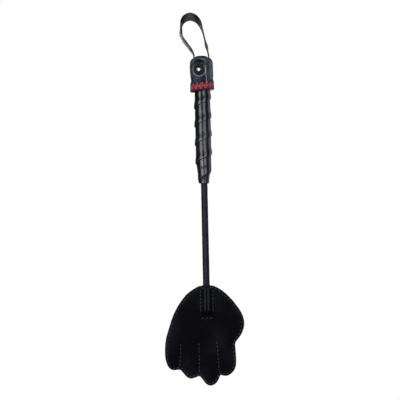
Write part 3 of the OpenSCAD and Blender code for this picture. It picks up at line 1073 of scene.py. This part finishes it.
quarter = np.linspace(0.02, math.pi / 2, 18)
tab_rows = np.concatenate([np.linspace(-11, tab_round, 46), tab_round + tab_half * np.sin(quarter)])
tab_across = np.linspace(-1, 1, 31)
rings = []
for up_here in tab_rows:
    edge_round = np.sqrt(np.clip(1 - ((np.abs(tab_across) - 0.9) / 0.1).clip(0, 1) ** 2, 0, 1))
    front, rear = (
        np.column_stack(np.broadcast_arrays(*tab_surface(tab_across, up_here, out)))
        for out in (tab_t / 2 * edge_round, -tab_t / 2 * edge_round)
    )
    rings.append(from_tab(np.vstack([front, rear[::-1][1:-1]])))
points, faces = skin(rings)
tab = make_piece("closing_tab_leather", points, faces, tab_finish)


def tab_edge_and_crescent_highlights(points):
    """Painted highlights: a pale line along the tab's right edge, and a pale crescent, strongest below
    the snap, where its rim has pressed the leather.
    """
    x, _, up_tab = into_tab(points).T
    over = np.clip((up_tab - tab_round) / tab_half, 0, 1)
    border = tab_half * np.sqrt(1 - over**2) - np.abs(x)
    # painted highlight along the edge, strong only on the right side and low down
    rim = np.exp(-((border / 0.8) ** 2)) * (0.12 + 0.88 * (x > 0) * (1 - smooth_step(up_tab, 12, 19)))
    from_snap = np.hypot(x, up_tab - snap_height)
    below = 0.5 - 0.5 * np.clip((up_tab - snap_height) / 6, -1, 1)
    # painted highlight in a crescent round the snap, strongest below it
    dent = np.exp(-(((from_snap - 8.3) / 0.55) ** 2)) * (0.22 + 0.38 * below)
    return rim + dent + 0.08 * ripple(points, 6, 51) - 0.04


paint_point_values(tab, tab_edge_and_crescent_highlights)
hinge = from_tab([[0, 0, 0]])[0] * MM
reach = np.array([0, 0, 3]) * MM
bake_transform(tab)
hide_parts("tab_root", "closing_tab")

# %% [markdown]
# ## The snap
# The button is pressed from sheet: a rolled rim, a groove and a dome, lacquered black. It is
# turned round its own axis, as the press makes it.

# %% Snap button
snap_profile = [
    (0.02, 2.62), (1.2, 2.6), (2.3, 2.52), (3.1, 2.3), (3.7, 1.8), (4.1, 1.2), (4.45, 0.92),
    (4.8, 0.98), (5.2, 0.94), (6.0, 0.83), (6.8, 0.72), (7.2, 0.58), (7.45, 0.3), (7.5, 0.05),
    (7.3, -0.08), (6, -0.1), (2, -0.1), (0.02, -0.1),
]
turned = curve_through(snap_profile, 5)
snap_turns = 72
angles = np.linspace(0, 2 * math.pi, snap_turns, endpoint=False)
rings = []
for radius, height in turned:
    across = radius * np.cos(angles)
    outwards = np.full(snap_turns, -tab_t / 2 - height)
    rings.append(from_tab(np.column_stack([across, outwards, snap_height + radius * np.sin(angles)])))
points, faces = skin(rings)
snap = make_piece("snap_button_dome", points, faces, black_lacquer)


def snap_wear(points):
    """Only the dome keeps its gloss, and a little of the rim on its right side."""
    x, _, up_tab = into_tab(points).T
    from_middle = np.hypot(x, up_tab - snap_height)
    on_rim = smooth_step(from_middle, 6.3, 6.9) * (x > 4)
    return smooth_step(from_middle, 3.6, 4.2) - 0.7 * on_rim


paint_point_values(snap, snap_wear)
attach(snap, "tab")
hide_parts("snap_button")

# %% [markdown]
# ## The wrist strap
# A flat strap stands up edge-on out of both shoulders of the cap, and its stiffness carries it
# into a loop that flops back at the top, so its inner face shows there. Its path is a smooth line
# through a few given points, and its section has rounded edges and a pressed line along each.

# %% Wrist strap
strap_path = [
    (-9.8, 86), (-9.8, 94), (-9.8, 102.5), (-9.9, 105.5), (-12.6, 111), (-18, 118.5),
    (-23.6, 126.9), (-25.9, 136.4), (-25.6, 147), (-22, 155.6), (-14.4, 160), (-6.6, 156.6),
    (-1.3, 149), (1.3, 141), (3.4, 131.3), (5.8, 121), (7.6, 112), (8.9, 105.5), (9, 102.5),
    (9, 94), (9, 86),
]
strap_lean, lean_from_z = 0.0175, 118
strap_half, strap_t = 6.0, 1.9
line = curve_through(strap_path, 9)
rise = np.clip(line[:, 1] - lean_from_z, 0, None)
middle = np.column_stack([line[:, 0], strap_lean * rise**2, line[:, 1]])
along = np.gradient(middle, axis=0)
along /= np.linalg.norm(along, axis=1)[:, None]
slope = np.arctan(2 * strap_lean * rise)
left_twist = -0.2 * (1 - np.exp(-(((line[:, 1] - 128) / 5) ** 2))) * smooth_step(line[:, 1], 106, 114)
right_twist = 0.1 * smooth_step(line[:, 1], 118, 130) + 0.25 * np.exp(-(((line[:, 1] - 117) / 6) ** 2))
twist = np.where(np.arange(len(line)) < len(line) / 2, left_twist, right_twist)
twist *= 1 - smooth_step(line[:, 1], 138, 148)
wide = np.column_stack([np.sin(twist), np.cos(twist) * np.cos(slope), -np.sin(slope)])
wide -= (wide * along).sum(1)[:, None] * along
wide /= np.linalg.norm(wide, axis=1)[:, None]
out = np.cross(along, wide)
section = []
for share in np.linspace(-1, 1, 21):
    rounded = math.sqrt(max(0.0, 1 - max(0.0, (abs(share) - 0.88) / 0.12) ** 2))
    pressed = 0.22 * math.exp(-(((abs(share) - 0.74) / 0.05) ** 2))
    section.append((share * strap_half, strap_t / 2 * rounded - pressed))
section += [(a, -b) for a, b in section[::-1][1:-1]]
rings = [
    [here + a * across + b * outwards for a, b in section]
    for here, across, outwards in zip(middle, wide, out)
]
points, faces = skin(rings)
strap = make_piece("wrist_strap_leather", points, faces, strap_finish)


def strap_painted_highlights(points):
    """Painted highlights on the strap's outer side: in the middle of its left leg and low on its
    right.
    """
    x, z = points[:, 0], points[:, 2]
    on_left = x < between_legs_x
    path_x = np.where(on_left, np.interp(z, left_z, left_x), np.interp(z, right_z, right_x))
    outer = np.where(on_left, path_x - x, x - path_x) > 0.25
    # painted highlights: the left leg's outer face in its middle, and the right leg low down
    left = smooth_step(z, 108, 116) * (1 - smooth_step(z, 134, 142)) * on_left
    right = np.exp(-(((z - 117) / 5) ** 2)) * (x > between_legs_x)
    return outer * (left + 0.8 * right) * 0.9 - 0.08


between_legs_x = -5
top_of_loop = int(np.argmax(line[:, 1]))
left_x, left_z = line[: top_of_loop + 1].T
right_x, right_z = line[top_of_loop:][::-1].T
paint_point_values(strap, strap_painted_highlights)
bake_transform(strap)
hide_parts("wrist_strap", "strap_tails")

# %% [markdown]
# ## Pieces inside
# The rod, the turned former and core, the snap's steel parts and the tacks keep their exact
# solids, because their shapes are already right, and only get their finishes.

# %% Finishes of the carried-over solids
hidden_finishes = {
    "core_rod": rod_glass_fibre,
    "grip_former": turned_beech,
    "pommel_core": turned_beech,
    "snap_socket": snap_steel,
    "snap_stud": snap_steel,
    "snap_washer": snap_steel,
    "strap_tacks": tack_brass,
}
for node, finish in hidden_finishes.items():
    mesh = nodes[node].data
    mesh.materials.clear()
    mesh.materials.append(finish)
print("dressed inside:", len(hidden_finishes))

# %% [markdown]
# ## Floor
# A plain pale floor lies a little below the fingertips. Seen directly it glows as white as the
# studio wall, so no horizon shows, but it throws only a little light up at the leather.

# %% Floor
floor_mesh = bpy.data.meshes.new("floor")
reach = 4.0
floor_z = -0.365
corners = [(x * reach, y * reach, floor_z) for x, y in ((-1, -1), (1, -1), (1, 1), (-1, 1))]
floor_mesh.from_pydata(corners, [], [(0, 1, 2, 3)])
floor = bpy.data.objects.new("floor", floor_mesh)
bpy.context.scene.collection.objects.link(floor)
pale = Finish("pale_floor", Base_Color=(0.5, 0.5, 0.5), Roughness=0.9, Specular_IOR_Level=0.1)
glow = pale.node("ShaderNodeEmission", None, {"Color": (1, 1, 1), "Strength": 1.0})
seen_directly = pale.node("ShaderNodeLightPath")["Is Camera Ray"]
bright = pale.node(
    "ShaderNodeMixShader",
    None,
    {0: seen_directly, 1: Value(pale, pale.shader.outputs[0]), 2: glow["Emission"]},
)
pale.fill(pale.tree.nodes["Material Output"].inputs["Surface"], bright["Shader"])
floor_mesh.materials.append(pale.material)
print("floor lies at", floor_z)
